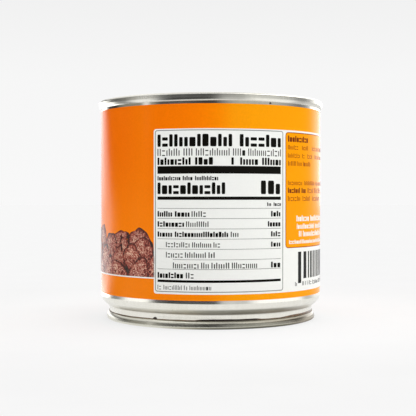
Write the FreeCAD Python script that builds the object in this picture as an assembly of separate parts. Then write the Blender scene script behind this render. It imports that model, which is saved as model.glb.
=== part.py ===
"""A short, wide, stackable food can: tinplate body, two double-seamed ends and a wrapped paper label.

Millimetres. +Z is up, and the origin is the centre of the ring that the can stands on.
The can is shut, so its body is one solid out to the inner faces of the two ends.
Every round piece is an outline of (radius, height, rounding) corners turned about Z.
"""

import FreeCAD
import Part

import math
import os

# ---- driving dimensions -------------------------------------------------------------------

can_height = 81.3
body_radius = 41.55
body_sheet = 0.2
end_sheet = 0.25

# Double seams: the rolled rings that join each end to the body. They lean out towards the rim, and the
# skirt curves in over a share of their height. The outer crown is a share of their width, and the inner one
# is a share of what the outer one leaves.
top_seam_proud = 0.9
top_seam_height = 2.85
top_seam_lean = 0.15
base_seam_proud = 1.15
base_seam_height = 2.95
base_seam_lean = 0.3
seam_outer_crown = 0.55
seam_inner_crown = 0.8
seam_skirt_share = 0.45
seam_skirt_edge = 0.1
seam_gap = 0.1
seam_gap_depth = 0.9
stack_clearance = 1.5

# Ends: a chuck wall inside the seam, a countersink groove and a panel with ring beads.
panel_depth = 4.25
panel_edge_rounding = 0.45
countersink_drop = 1.0
countersink_width = 2.2
countersink_rounding = 0.5
chuck_lean = 0.5
bead_count = 3
bead_width = 3.4
bead_depth = 0.45
bead_pitch = 5.6
bead_margin = 5.2
bead_slope = 0.7
bead_rounding = 0.5

# Body: the wall runs straight into the top seam, and draws in to a neck at the foot so that cans nest.
base_neck_length = 1.9
base_shoulder_angle = 48.0
base_shoulder_rounding = 3.2
base_crease_rounding = 1.5

# Paper label, wrapped once round the straight wall, with bare metal above and below it.
label_sheet = 0.12
label_top_margin = 0.95
label_base_margin = 1.1

# ---- values worked out from them ----------------------------------------------------------

double_sheet = end_sheet + body_sheet
base_neck_radius = body_radius - double_sheet - stack_clearance - base_seam_proud
countersink_depth = panel_depth + countersink_drop


# ---- outlines -----------------------------------------------------------------------------


def rounded_outline(corners):
    """A closed wire in the XZ plane through the corners, with a tangent arc at each rounded one."""
    points = [FreeCAD.Vector(r, 0, z) for r, z, _ in corners]
    entries, exits, arcs = [], [], []
    for i, (_, _, rounding) in enumerate(corners):
        corner = points[i]
        if rounding == 0:
            entries.append(corner)
            exits.append(corner)
            arcs.append(None)
            continue
        back = (points[i - 1] - corner).normalize()
        ahead = (points[(i + 1) % len(points)] - corner).normalize()
        half_angle = back.getAngle(ahead) / 2
        setback = rounding / math.tan(half_angle)
        middle = (back + ahead).normalize() * (rounding / math.sin(half_angle) - rounding)
        entries.append(corner + back * setback)
        exits.append(corner + ahead * setback)
        arcs.append(Part.Arc(entries[-1], corner + middle, exits[-1]).toShape())
    edges = []
    for i, arc in enumerate(arcs):
        if (entries[i] - exits[i - 1]).Length > 1e-7:
            edges.append(Part.LineSegment(exits[i - 1], entries[i]).toShape())
        if arc:
            edges.append(arc)
    return Part.Wire(edges)


def turned(corners):
    """The solid that the outline sweeps when it turns once about Z."""
    face = Part.Face(rounded_outline(corners))
    return face.revolve(FreeCAD.Vector(0, 0, 0), FreeCAD.Vector(0, 0, 1), 360)


def chuck_radius(neck_radius):
    """Outer radius of an end's chuck wall, whose sheet and the body's lie inside the neck's radius."""
    return neck_radius - double_sheet


def seam_hook(seam_height):
    """Height, from the rim, at which the body sheet meets the end's metal inside the seam."""
    return seam_gap_depth - seam_height


def panel_corners(neck_radius, sheet):
    """The beaded panel from the axis outwards, with the rim at height 0.

    With sheet 0 it is the outside face, and otherwise the inside face that lies one sheet deeper.
    """
    edge = chuck_radius(neck_radius) - chuck_lean - countersink_width
    panel = -panel_depth - sheet
    groove = panel - bead_depth
    corners = [(0, panel, 0)]
    for i in reversed(range(bead_count)):
        outer = edge - bead_margin - i * bead_pitch
        inner = outer - bead_width
        corners += [
            (inner, panel, bead_rounding),
            (inner + bead_slope, groove, bead_rounding),
            (outer - bead_slope, groove, bead_rounding),
            (outer, panel, bead_rounding),
        ]
    return corners + [(edge - sheet, panel, panel_edge_rounding - sheet)]


def countersink_corners(neck_radius, sheet):
    """The groove between the panel and the chuck wall, on the same face as panel_corners."""
    outer = chuck_radius(neck_radius) - chuck_lean + sheet
    inner = outer - countersink_width - 2 * sheet
    floor = -countersink_depth - sheet
    return [
        (inner, floor, countersink_rounding + sheet),
        (outer, floor, countersink_rounding + sheet),
    ]


def inside_corners(neck_radius, seam_height):
    """An end's face towards the food, from the axis to where the body sheet enters the seam."""
    panel = panel_corners(neck_radius, end_sheet)
    groove = countersink_corners(neck_radius, end_sheet)
    return panel + groove + [(chuck_radius(neck_radius) + end_sheet, seam_hook(seam_height), 0)]


def seam_corners(neck_radius, seam_proud, seam_height, seam_lean):
    """The rolled seam from the top of the chuck wall, over the rim and down its rounded skirt."""
    rim = neck_radius + seam_proud
    width = rim - chuck_radius(neck_radius)
    skirt_inside = neck_radius + seam_gap
    skirt_tip = skirt_inside + seam_skirt_edge
    skirt_outside = rim - seam_lean
    inset = skirt_outside - skirt_tip
    inner_crown = seam_inner_crown * (1 - seam_outer_crown) * width
    rise = seam_skirt_share * seam_height
    slope = 2 * math.atan(inset / rise)
    return [
        (chuck_radius(neck_radius), 0, inner_crown),
        (rim, 0, seam_outer_crown * width),
        (skirt_outside, inset / math.tan(slope) - seam_height, 0.96 * rise / math.sin(slope)),
        (skirt_tip, -seam_height, 0),
        (skirt_inside, -seam_height, 0),
        (skirt_inside, seam_hook(seam_height), 0),
    ]


# ---- pieces -------------------------------------------------------------------------------


def can_end(neck_radius, seam_proud, seam_height, seam_lean):
    """One end with its seam, rim at height 0 and its panel below."""
    outside = panel_corners(neck_radius, 0) + countersink_corners(neck_radius, 0)
    seam = seam_corners(neck_radius, seam_proud, seam_height, seam_lean)
    inside = inside_corners(neck_radius, seam_height)
    return turned(outside + seam + inside[::-1])


def wall_span():
    """Lowest and highest points of the wall in sight, and the corner that the shoulder rounds off."""
    slope = math.radians(base_shoulder_angle)
    draw = body_radius - base_neck_radius
    corner = base_seam_height + base_neck_length + draw / math.tan(slope)
    low = corner + base_shoulder_rounding * math.tan(slope / 2)
    return low, can_height - top_seam_height, corner


def can_body():
    """The shut body: solid between the inner faces of both ends, with its wall, shoulder and neck."""
    top_end = inside_corners(body_radius, top_seam_height)
    base_end = inside_corners(base_neck_radius, base_seam_height)
    top_face = [(r, can_height + z, rounding) for r, z, rounding in top_end]
    base_face = [(r, -z, rounding) for r, z, rounding in base_end]
    _, _, base_corner = wall_span()
    wall = [
        (body_radius, top_face[-1][1], 0),
        (body_radius, base_corner, base_shoulder_rounding),
        (base_neck_radius, base_seam_height + base_neck_length, base_crease_rounding),
        (base_neck_radius, base_face[-1][1], 0),
    ]
    return turned(top_face + wall + base_face[::-1])


def label():
    """The paper sleeve on the body's straight wall."""
    wall_bottom, wall_top, _ = wall_span()
    low = wall_bottom + label_base_margin
    high = wall_top - label_top_margin
    outer = body_radius + label_sheet
    return turned([(body_radius, low, 0), (outer, low, 0), (outer, high, 0), (body_radius, high, 0)])


def build():
    """Every piece in its place, by the name of its node."""
    top_end = can_end(body_radius, top_seam_proud, top_seam_height, top_seam_lean)
    top_end.translate(FreeCAD.Vector(0, 0, can_height))
    base_end = can_end(base_neck_radius, base_seam_proud, base_seam_height, base_seam_lean)
    base_end.rotate(FreeCAD.Vector(0, 0, 0), FreeCAD.Vector(1, 0, 0), 180)
    return {"can_body": can_body(), "top_end": top_end, "base_end": base_end, "label": label()}


os.makedirs("parts", exist_ok=True)
for name, shape in build().items():
    print(name, len(shape.Solids), shape.isValid(), round(shape.Volume, 2))
    shape.exportStep(f"parts/{name}.step")
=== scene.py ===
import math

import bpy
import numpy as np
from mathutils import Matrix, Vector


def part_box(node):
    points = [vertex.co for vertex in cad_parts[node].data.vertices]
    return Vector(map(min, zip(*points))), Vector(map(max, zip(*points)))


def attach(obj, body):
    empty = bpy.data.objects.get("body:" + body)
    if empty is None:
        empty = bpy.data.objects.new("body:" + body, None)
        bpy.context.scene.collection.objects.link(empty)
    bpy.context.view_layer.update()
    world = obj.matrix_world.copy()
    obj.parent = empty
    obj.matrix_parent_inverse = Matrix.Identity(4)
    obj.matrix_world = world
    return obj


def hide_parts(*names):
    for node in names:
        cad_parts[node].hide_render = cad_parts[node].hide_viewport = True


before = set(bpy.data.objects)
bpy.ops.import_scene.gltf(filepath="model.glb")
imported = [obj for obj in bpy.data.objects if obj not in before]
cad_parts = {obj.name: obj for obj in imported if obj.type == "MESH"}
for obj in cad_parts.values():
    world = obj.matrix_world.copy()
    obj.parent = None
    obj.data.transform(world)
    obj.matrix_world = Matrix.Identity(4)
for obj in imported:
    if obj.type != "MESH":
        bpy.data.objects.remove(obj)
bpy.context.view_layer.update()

# A short, stackable food can with a glossy printed label, seen from its back panel.
# Sizes are in millimetres until a mesh is made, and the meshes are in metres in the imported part's frame.
# Places on the label are (s, z): s runs round the paper from the front of the view, to the right, and z is
# the height above the floor.

METRE = 1000.0
TURN = 2 * math.pi
SHARP_EDGE = math.radians(38)

# ---- sizes from the frame ------------------------------------------------------------------

can_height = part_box("top_end")[1].z * METRE
body_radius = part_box("can_body")[1].x * METRE
label_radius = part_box("label")[1].x * METRE
label_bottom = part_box("label")[0].z * METRE
label_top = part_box("label")[1].z * METRE
label_sheet = label_radius - body_radius
label_round = TURN * label_radius

# ---- tinplate: the same values and outlines as in the part's own source --------------------

body_sheet = 0.2
end_sheet = 0.25
top_seam_proud = 0.9
top_seam_height = 2.85
top_seam_lean = 0.15
base_seam_proud = 1.15
base_seam_height = 2.95
base_seam_lean = 0.3
seam_outer_crown = 0.55
seam_inner_crown = 0.8
seam_skirt_share = 0.45
seam_skirt_edge = 0.1
seam_gap = 0.1
seam_gap_depth = 0.9
stack_clearance = 1.5
panel_depth = 4.25
panel_edge_rounding = 0.45
countersink_drop = 1.0
countersink_width = 2.2
countersink_rounding = 0.5
chuck_lean = 0.5
bead_count = 3
bead_width = 3.4
bead_depth = 0.45
bead_pitch = 5.6
bead_margin = 5.2
bead_slope = 0.7
bead_rounding = 0.5
base_neck_length = 1.9
base_shoulder_angle = math.radians(48)
base_shoulder_rounding = 3.2
base_crease_rounding = 1.5

double_sheet = end_sheet + body_sheet
base_neck_radius = body_radius - double_sheet - stack_clearance - base_seam_proud

# Steps round the can, the largest step along an arc, and how far an arc's extra point stands from its end.
turn_steps = 336
arc_step = math.radians(9)
edge_loop = 0.015
seam_waver = 0.035

# Sealing compound above the foot's seam: its height, where it stands taller and black as painted shade in the
# gap, and where it rises up the neck as a painted warm reflection.
compound_height = 0.25
gap_shade_bulge = 0.32
GAP_SHADE_FROM, GAP_SHADE_TO = math.radians(-9), math.radians(28)
warm_reflection_height = 0.45
WARM_REFLECTION_FROM, WARM_REFLECTION_TO = math.radians(38), math.radians(95)

# Dark flecks of glue: arc length, height, distance from the axis, and half sizes across, up and out.
FLECKS = [
    (21.7, 78.0, 41.6, 0.42, 0.36, 0.16),
    (-22.0, 3.35, 38.5, 0.8, 0.36, 0.3),
]

# ---- the label's layout --------------------------------------------------------------------

lap_edge = 76.0
lap_width = 6.0
lap_ramp = 1.5
lap_air = 0.03
paper_waver = 0.02
column_pitch = 0.9

# How far each layer of print stands off the paper, and how deep its back lies under its face.
ground_lift = 0.02
panel_lift = 0.035
hairline_lift = 0.038
ink_lift = 0.04
outline_lift = 0.05
list_ink_lift = 0.055
picture_line_lift = 0.13
ink_depth = 0.03
mark_middle = 0.02

# Rectangles on the label: left, right, low, high and the rounding of their corners.
WHITE_GROUND = (-20.4, 68.0, 12.3, 69.0, 0.9)
FACTS_BORDER = (-19.9, 27.2, 13.0, 68.6, 0.9)
LIST_PANEL = (28.3, 67.2, 27.7, 68.35, 1.3)
border_width = 0.3
list_outline = 0.32
text_left, text_right = -18.9, 26.1
line_low, line_high = 17.4, 17.85
hairline_width = 0.14
heap_low = 17.7
FACTS_BARS = [(53.6, 56.2), (44.65, 45.75), (16.35, 17.2)]

front_middle = np.array([-112.0, 53.0])
front_half = np.array([50.5, 19.0])
front_rim = 1.1
front_band_half, front_band_low, front_band_high, front_band_rounding = 34.0, -3.4, 4.6, 3.9
dot_rows = (11.0, -9.5)
dot_pitch, dot_width = 6.5, 2.6


# ---- meshes --------------------------------------------------------------------------------


def placed(name, data):
    """A new object in the scene."""
    made = bpy.data.objects.new(name, data)
    bpy.context.scene.collection.objects.link(made)
    return made


def piece(name, points, faces, material, slot, values=None):
    """A mesh object from points (n, 3) in millimetres and a list of face arrays (m, 3) or (m, 4).

    values holds further numbers for each point, which the material reads by name.
    """
    mesh = bpy.data.meshes.new(name)
    corners = [face for group in faces for face in group.tolist()]
    mesh.from_pydata((points / METRE).tolist(), [], corners)
    mesh.polygons.foreach_set("use_smooth", np.ones(len(corners), bool))
    mesh.set_sharp_from_angle(angle=SHARP_EDGE)
    for key, numbers in (values or {}).items():
        mesh.attributes.new(key, "FLOAT", "POINT").data.foreach_set("value", np.ravel(numbers))
    mesh.materials.append(material)
    made = placed(name, mesh)
    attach(made, "root")
    return made


def smooth_step(x):
    """0 below 0, 1 above 1, and 3x^2 - 2x^3 between."""
    x = np.clip(x, 0, 1)
    return x * x * (3 - 2 * x)


def soft_window(x, start, end, soft):
    """1 between start and end, 0 outside them, with a smooth step of width soft inside each end."""
    return smooth_step((x - start) / soft) * smooth_step((end - x) / soft)


def around(r, angle, z):
    """The point x = r sin a and y = -r cos a at height z, so that the angle 0 faces the camera."""
    return np.stack([r * np.sin(angle), -r * np.cos(angle), z + 0 * angle], -1)


def circle(angle):
    """The unit circle's points, (cos a, sin a)."""
    return np.stack([np.cos(angle), np.sin(angle)], -1)


def on_label(s, z, lift):
    """The point at arc length s and height z, lift above the paper's face.

    Its angle is s / R, and its radius is the label's R, plus the lift, plus a slow waver, plus one sheet and
    a little air where the outer end laps over the inner one.
    """
    angle = s / label_radius
    waver = np.sin(3 * angle + 1.0) + 0.6 * np.sin(7 * angle + 0.08 * z) + 0.4 * np.sin(11 * angle + 2.0)
    lap = (label_sheet + lap_air) * smooth_step((s - lap_edge + lap_width + lap_ramp) / lap_ramp)
    r = label_radius + lift + paper_waver * (waver - 1) + lap
    return around(r, angle, z)


def grid_faces(rows, columns):
    """Quads between neighbours of a grid whose points are numbered row by row."""
    start = (np.arange(rows - 1)[:, None] * columns + np.arange(columns - 1)).ravel()
    return np.stack([start, start + columns, start + columns + 1, start + 1], -1)


def sheet_faces(columns, rows):
    """Faces of a closed sheet: an outer and an inner grid of columns by rows, with walls round the edge."""
    outer = grid_faces(columns, rows)
    count = columns * rows
    inner = outer[:, ::-1] + count
    number = np.arange(count).reshape(columns, rows)
    rim = np.concatenate([number[:, 0], number[-1, 1:], number[-2::-1, -1], number[0, -2:0:-1]])
    ahead = np.roll(rim, -1)
    wall = np.stack([rim, rim + count, ahead + count, ahead], -1)
    return [outer, inner, wall]


def sheet_points(s, bottom, top, rows, outer_lift, inner_lift):
    """Two grids on the label: each column s[i] rises from bottom[i] to top[i] in even steps."""
    share = np.linspace(0, 1, rows)
    z = bottom[:, None] + (top - bottom)[:, None] * share
    across = np.broadcast_to(s[:, None], z.shape)
    outer = on_label(across, z, outer_lift).reshape(-1, 3)
    inner = on_label(across, z, inner_lift).reshape(-1, 3)
    return np.concatenate([outer, inner])


def spread(start, end, rounding, pitch=column_pitch):
    """Places from start to end: even steps, with cosine steps inside each rounded end."""
    fine = rounding * (1 - np.cos(np.linspace(0, TURN / 4, 7)))
    steps = max(2, int((end - start - 2 * rounding) / pitch) + 1)
    middle = np.linspace(start + rounding, end - rounding, steps + 1)[1:-1]
    return np.concatenate([start + fine, middle, (end - fine)[::-1]])


def wrapped_patch(s, bottom, top, lift, rows=2, depth=ink_depth):
    """A closed sheet of ink on the label between two edges given at each column, its back sunk by depth."""
    points = sheet_points(s, bottom + 0 * s, top + 0 * s, rows, lift, lift - depth)
    return points, sheet_faces(len(s), rows)


def rounded_patch(left, right, low, high, rounding, lift, rows=2):
    """A rectangle on the label with quarter-circle corners: an edge drops by r - sqrt(r^2 - (r - d)^2)."""
    s = spread(left, right, rounding)
    near = np.minimum(np.minimum(s - left, right - s), rounding)
    drop = rounding - np.sqrt(np.maximum(rounding**2 - (rounding - near) ** 2, 0))
    drop = np.minimum(drop, (high - low) / 2 - 0.01)
    return wrapped_patch(s, low + drop, high - drop, lift, rows)


def rounded_loop(left, right, low, high, rounding, steps=60, arc_points=6):
    """Points round a rounded rectangle, the same number for any size, so that two of them pair up."""
    middles = [(right, high), (left, high), (left, low), (right, low)]
    signs = [(-1, -1), (1, -1), (1, 1), (-1, 1)]
    arcs = []
    for i, ((s, z), (a, b)) in enumerate(zip(middles, signs)):
        angle = np.linspace(i, i + 1, arc_points) * TURN / 4
        centre = np.array([s + a * rounding, z + b * rounding])
        arcs.append(centre + rounding * circle(angle))
    runs = []
    share = np.linspace(0, 1, steps + 1)[1:-1, None]
    for i, arc in enumerate(arcs):
        following = arcs[(i + 1) % 4][0]
        runs += [arc, arc[-1] + (following - arc[-1]) * share]
    return np.concatenate(runs)


def band_faces(count, sides):
    """Faces between four loops of count points: side i joins loop i to the next, and side 3 joins the last
    loop to the first."""
    here = np.arange(count)
    ahead = np.roll(here, -1)
    starts = [(i * count, (i + 1) % 4 * count) for i in sides]
    return [np.stack([here + a, ahead + a, ahead + b, here + b], -1) for a, b in starts]


def four_loops(outside, inside, lift, depth):
    """The outer and the inner loop on a piece of ink's face, then the inner and the outer one at its back."""
    loops = [(outside, lift), (inside, lift), (inside, lift - depth), (outside, lift - depth)]
    return [on_label(loop[..., 0], loop[..., 1], height) for loop, height in loops]


def closed_band(outside, inside, lift, depth=ink_depth):
    """A closed flat ring on the label between two paired loops, its back sunk by depth."""
    return np.concatenate(four_loops(outside, inside, lift, depth)), band_faces(len(outside), range(4))


def border_line(left, right, low, high, rounding, width, lift):
    """A line of even width round a rounded rectangle."""
    outside = rounded_loop(left, right, low, high, rounding)
    inside = rounded_loop(left + width, right - width, low + width, high - width, max(rounding - width, 0.1))
    return closed_band(outside, inside, lift)


def joined(parts):
    """One mesh from several (points, faces) pairs."""
    points = np.concatenate([part[0] for part in parts])
    faces = []
    start = 0
    for part in parts:
        faces += [group + start for group in part[1]]
        start += len(part[0])
    return points, faces


def marks(boxes, lift, points_round=16, depth=ink_depth, squareness=7.0):
    """Small flat marks, all in one array. boxes is (n, 4): middle s, middle z, width and height.

    A mark's edge is a superellipse, |x / a|^p + |z / b|^p = 1. Its face and its back are a band round a
    small middle, which is one face on each side.
    """
    boxes = np.asarray(boxes, float)
    angle = np.linspace(0, TURN, points_round, endpoint=False) + TURN / points_round / 2
    unit = circle(angle)
    unit = np.sign(unit) * np.abs(unit) ** (2 / squareness)
    centre = boxes[:, None, :2]
    outside = centre + boxes[:, None, 2:4] / 2 * unit
    inside = centre + mark_middle * unit
    points = np.stack(four_loops(outside, inside, lift, depth), 1).reshape(-1, 3)
    first = np.arange(len(boxes))[:, None, None] * 4 * points_round
    bands = first + np.concatenate(band_faces(points_round, (0, 2, 3)))
    middles = points_round + np.arange(2 * points_round).reshape(2, points_round)
    middles[1] = middles[1, ::-1]
    caps = first + middles
    return points, [bands.reshape(-1, 4), caps.reshape(-1, points_round)]


# ---- rows of marks in place of words --------------------------------------------------------

TALL_BAR, LOW_BAR, LOW_BLOCK, TALL_BLOCK, SPLIT_BLOCK = range(5)
# The share of each kind of mark in a thin and in a bold row.
THIN_MIX = {TALL_BAR: 0.3, LOW_BAR: 0.56, LOW_BLOCK: 0.03, TALL_BLOCK: 0.0, SPLIT_BLOCK: 0.11}
BOLD_MIX = {TALL_BAR: 0.22, LOW_BAR: 0.38, LOW_BLOCK: 0.28, TALL_BLOCK: 0.04, SPLIT_BLOCK: 0.08}


def row_of_marks(rng, low, high, start, end, stroke):
    """Marks from start to end in the rhythm of a printed word: upright bars, solid blocks and split blocks.

    Bars are one stroke wide and stand at full or at three quarters height. A block is wider, and a split one
    is two flat strokes, one over the other.
    """
    tall = high - low
    low_tall = 0.76 * tall
    thin = stroke < 0.2 * tall
    gap = (0.19 if thin else 0.12) * tall
    mix = THIN_MIX if thin else BOLD_MIX
    kinds = rng.choice(list(mix), size=400, p=list(mix.values()))
    kinds[0] = TALL_BAR
    boxes = []
    s = 0.0
    for kind in kinds:
        width = stroke if kind in (TALL_BAR, LOW_BAR) else max(1.7 * stroke, 0.42 * tall)
        if s + width > end - start and boxes:
            break
        middle = s + width / 2
        if kind == SPLIT_BLOCK:
            flat = min(1.1 * stroke, 0.34 * low_tall)
            boxes.append([middle, low + flat / 2, width, flat])
            boxes.append([middle, low + low_tall - flat / 2, width, flat])
        else:
            height = tall if kind in (TALL_BAR, TALL_BLOCK) else low_tall
            boxes.append([middle, low + height / 2, width, height])
        s += width + gap
    boxes = np.array(boxes)
    fit = (end - start) / (s - gap)
    boxes[:, 0] = start + boxes[:, 0] * fit
    boxes[:, 2] *= min(fit, 1.25)
    return boxes


def words(rng, low, high, spans, stroke_share):
    """Rows of marks for several words on one line; stroke_share is the stroke over the height."""
    stroke = stroke_share * (high - low)
    return np.concatenate([row_of_marks(rng, low, high, a, b, stroke) for a, b in spans])


# ---- tinplate outlines ----------------------------------------------------------------------


def rounded(corners):
    """Points of the outline: each (radius, height, rounding) corner becomes the arc that touches both runs.

    A point close beside each end of an arc keeps the shading of the straight runs flat.
    """
    at = np.array([corner[:2] for corner in corners], float)
    runs = [at[:1]]
    for i in range(1, len(corners) - 1):
        rounding = corners[i][2]
        if rounding == 0:
            runs.append(at[i : i + 1])
            continue
        back = at[i - 1] - at[i]
        ahead = at[i + 1] - at[i]
        back /= np.linalg.norm(back)
        ahead /= np.linalg.norm(ahead)
        half = math.acos(np.clip(back @ ahead, -1, 1)) / 2
        bisector = (back + ahead) / np.linalg.norm(back + ahead)
        centre = at[i] + bisector * rounding / math.sin(half)
        start = at[i] + back * rounding / math.tan(half) - centre
        end = at[i] + ahead * rounding / math.tan(half) - centre
        first = math.atan2(start[1], start[0])
        sweep = (math.atan2(end[1], end[0]) - first + TURN / 2) % TURN - TURN / 2
        steps = max(2, math.ceil(abs(sweep) / arc_step))
        angle = first + sweep * np.linspace(0, 1, steps + 1)
        arc = centre + rounding * circle(angle)
        runs += [arc[:1] + back * edge_loop, arc, arc[-1:] + ahead * edge_loop]
    runs.append(at[-1:])
    return np.concatenate(runs)


def carried_round(r, z):
    """An outline's points carried once round Z, numbered point by point.

    r and z have a row for each point of the outline, of one value or of one for each step round.
    """
    return around(r, np.linspace(0, TURN, turn_steps, endpoint=False), z).reshape(-1, 3)


def capped_faces(rows, columns):
    """Faces over rows of points round an axis, with a fan at each end to one of the two points after them."""
    here = np.arange(columns)
    ahead = np.roll(here, -1)
    row = np.arange(rows - 1)[:, None] * columns
    sides = [row + here, row + columns + here, row + columns + ahead, row + ahead]
    first = rows * columns
    last = first - columns
    start_fan = np.stack([first + 0 * here, here, ahead], -1)
    end_fan = np.stack([first + 1 + 0 * here, last + ahead, last + here], -1)
    return [np.stack(sides, -1).reshape(-1, 4), start_fan, end_fan]


def turned(outline, waver=None):
    """The outline carried once round Z, with its two ends on the axis.

    waver(angle, radius, height) gives small changes to radius and height.
    """
    angle = np.linspace(0, TURN, turn_steps, endpoint=False)
    r = outline[1:-1, :1] + 0 * angle
    z = outline[1:-1, 1:] + 0 * angle
    if waver:
        more_r, more_z = waver(angle, r, z)
        r = r + more_r
        z = z + more_z
    poles = np.array([[0, 0, outline[0, 1]], [0, 0, outline[-1, 1]]])
    return np.concatenate([carried_round(r, z), poles]), capped_faces(len(r), turn_steps)


def ring(r, z):
    """A closed outline carried once round Z: r has a radius for each of its points, z a row of heights."""
    points = carried_round(np.asarray(r)[:, None], z)
    number = np.arange(len(points)).reshape(len(r), turn_steps)
    below = np.roll(number, -1, 0)
    sides = [number, np.roll(number, -1, 1), np.roll(below, -1, 1), below]
    return points, [np.stack(sides, -1).reshape(-1, 4)]


def fleck(s, z, radius, across, up, out):
    """A flattened lump on the wall: an ellipsoid in latitude and longitude steps, with wavy sides."""
    columns, rows = 24, 11
    turn = np.linspace(0, TURN, columns, endpoint=False)
    rise = np.linspace(0, TURN / 2, rows + 2)[1:-1, None]
    wave = 1 + 0.12 * np.sin(3 * turn + s) + 0.08 * np.sin(5 * turn)
    side = across * np.sin(rise) * np.cos(turn) * wave
    lift = up * np.sin(rise) * np.sin(turn) * wave
    proud = out * np.cos(rise) + 0 * turn
    tips = np.array([[0, 0, out], [0, 0, -out]])
    local = np.concatenate([np.stack([side, lift, proud], -1).reshape(-1, 3), tips])
    angle = s / label_radius
    ahead = np.array([math.cos(angle), math.sin(angle), 0])
    outward = np.array([math.sin(angle), -math.cos(angle), 0])
    centre = radius * outward + np.array([0, 0, z])
    points = centre + local[:, :1] * ahead + local[:, 1:2] * np.array([0, 0, 1]) + local[:, 2:] * outward
    return points, capped_faces(rows, columns)


def chuck_radius(neck_radius):
    """Outer radius of an end's chuck wall."""
    return neck_radius - double_sheet


def panel_corners(neck_radius, sheet):
    """The beaded panel from the axis outwards, with the rim at height 0; sheet 0 is its outside face."""
    edge = chuck_radius(neck_radius) - chuck_lean - countersink_width
    panel = -panel_depth - sheet
    groove = panel - bead_depth
    corners = [(0, panel, 0)]
    for i in reversed(range(bead_count)):
        outer = edge - bead_margin - i * bead_pitch
        inner = outer - bead_width
        corners += [
            (inner, panel, bead_rounding),
            (inner + bead_slope, groove, bead_rounding),
            (outer - bead_slope, groove, bead_rounding),
            (outer, panel, bead_rounding),
        ]
    return corners + [(edge - sheet, panel, panel_edge_rounding - sheet)]


def countersink_corners(neck_radius, sheet):
    """The groove between the panel and the chuck wall."""
    outer = chuck_radius(neck_radius) - chuck_lean + sheet
    inner = outer - countersink_width - 2 * sheet
    floor = -panel_depth - countersink_drop - sheet
    rounding = countersink_rounding + sheet
    return [(inner, floor, rounding), (outer, floor, rounding)]


def inside_corners(neck_radius, seam_height):
    """An end's face towards the food, out to where the body sheet enters the seam."""
    panel = panel_corners(neck_radius, end_sheet) + countersink_corners(neck_radius, end_sheet)
    return panel + [(chuck_radius(neck_radius) + end_sheet, seam_gap_depth - seam_height, 0)]


def seam_corners(neck_radius, seam_proud, seam_height, seam_lean):
    """The rolled seam from the chuck wall, over the rim and down its rounded skirt."""
    rim = neck_radius + seam_proud
    width = rim - chuck_radius(neck_radius)
    skirt_inside = neck_radius + seam_gap
    skirt_tip = skirt_inside + seam_skirt_edge
    skirt_outside = rim - seam_lean
    inset = skirt_outside - skirt_tip
    inner_crown = seam_inner_crown * (1 - seam_outer_crown) * width
    rise = seam_skirt_share * seam_height
    slope = 2 * math.atan(inset / rise)
    return [
        (chuck_radius(neck_radius), 0, inner_crown),
        (rim, 0, seam_outer_crown * width),
        (skirt_outside, inset / math.tan(slope) - seam_height, 0.96 * rise / math.sin(slope)),
        (skirt_tip, -seam_height, 0),
        (skirt_inside, -seam_height, 0),
        (skirt_inside, seam_gap_depth - seam_height, 0),
    ]


def end_outline(neck_radius, seam_proud, seam_height, seam_lean):
    """One end with its rolled seam, from the axis over the rim and back to the axis, rim at height 0."""
    outside = panel_corners(neck_radius, 0) + countersink_corners(neck_radius, 0)
    seam = seam_corners(neck_radius, seam_proud, seam_height, seam_lean)
    return rounded(outside + seam + inside_corners(neck_radius, seam_height)[::-1])


def body_outline():
    """The shut body: the lid's inner face, the wall, shoulder and neck, and the base's inner face."""
    top_face = [(r, can_height + z, k) for r, z, k in inside_corners(body_radius, top_seam_height)]
    base_face = [(r, -z, k) for r, z, k in inside_corners(base_neck_radius, base_seam_height)]
    neck_top = base_seam_height + base_neck_length
    base_corner = neck_top + (body_radius - base_neck_radius) / math.tan(base_shoulder_angle)
    wall = [
        (body_radius, top_face[-1][1], 0),
        (body_radius, base_corner, base_shoulder_rounding),
        (base_neck_radius, neck_top, base_crease_rounding),
        (base_neck_radius, base_face[-1][1], 0),
    ]
    return rounded(top_face + wall + base_face[::-1])


def seam_unevenness(rim, seam_height, side, phase):
    """The rolled skirt wanders a little: a few slow sine waves, full at the skirt and nil at the crown."""

    def waver(angle, r, z):
        """Small changes to radius and height."""
        depth = np.clip((can_height - z if side > 0 else z) / seam_height, 0, 1)
        outer = (r > rim - 1.0) * smooth_step(depth)
        wave = np.sin(2 * angle + phase) + 0.7 * np.sin(5 * angle + 2 * phase) + 0.5 * np.sin(9 * angle)
        fine = 0.3 * np.sin(23 * angle + phase) + 0.2 * np.sin(41 * angle)
        return -0.4 * seam_waver * outer * (1 + 0.4 * wave), seam_waver * outer * (wave + fine)

    return waver


# ---- node helpers ---------------------------------------------------------------------------


def set_inputs(tree, made, inputs):
    """Each of a node's inputs set to a value or joined to a socket."""
    for key, value in inputs.items():
        if isinstance(value, bpy.types.NodeSocket):
            tree.links.new(value, made.inputs[key])
        else:
            made.inputs[key].default_value = value


def node(tree, kind, inputs=None, **settings):
    """A node with its settings and its inputs."""
    made = tree.nodes.new(kind)
    for key, value in settings.items():
        setattr(made, key, value)
    set_inputs(tree, made, inputs or {})
    return made


def maths(tree, operation, first, second=0.0, clamp=False):
    """One Math node's result."""
    made = node(tree, "ShaderNodeMath", {0: first, 1: second}, operation=operation, use_clamp=clamp)
    return made.outputs[0]


def times(tree, first, second, clamp=False):
    """The product of two numbers."""
    return maths(tree, "MULTIPLY", first, second, clamp)


def mapped(tree, value, low, high, at_low=0.0, at_high=1.0, kind="LINEAR"):
    """The value with low to high carried to at_low to at_high, and held there outside them."""
    inputs = {0: value, 1: low, 2: high, 3: at_low, 4: at_high}
    return node(tree, "ShaderNodeMapRange", inputs, interpolation_type=kind).outputs[0]


def eased(tree, value, low, high, at_low=0.0, at_high=1.0):
    """The same with soft ends."""
    return mapped(tree, value, low, high, at_low, at_high, "SMOOTHSTEP")


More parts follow.
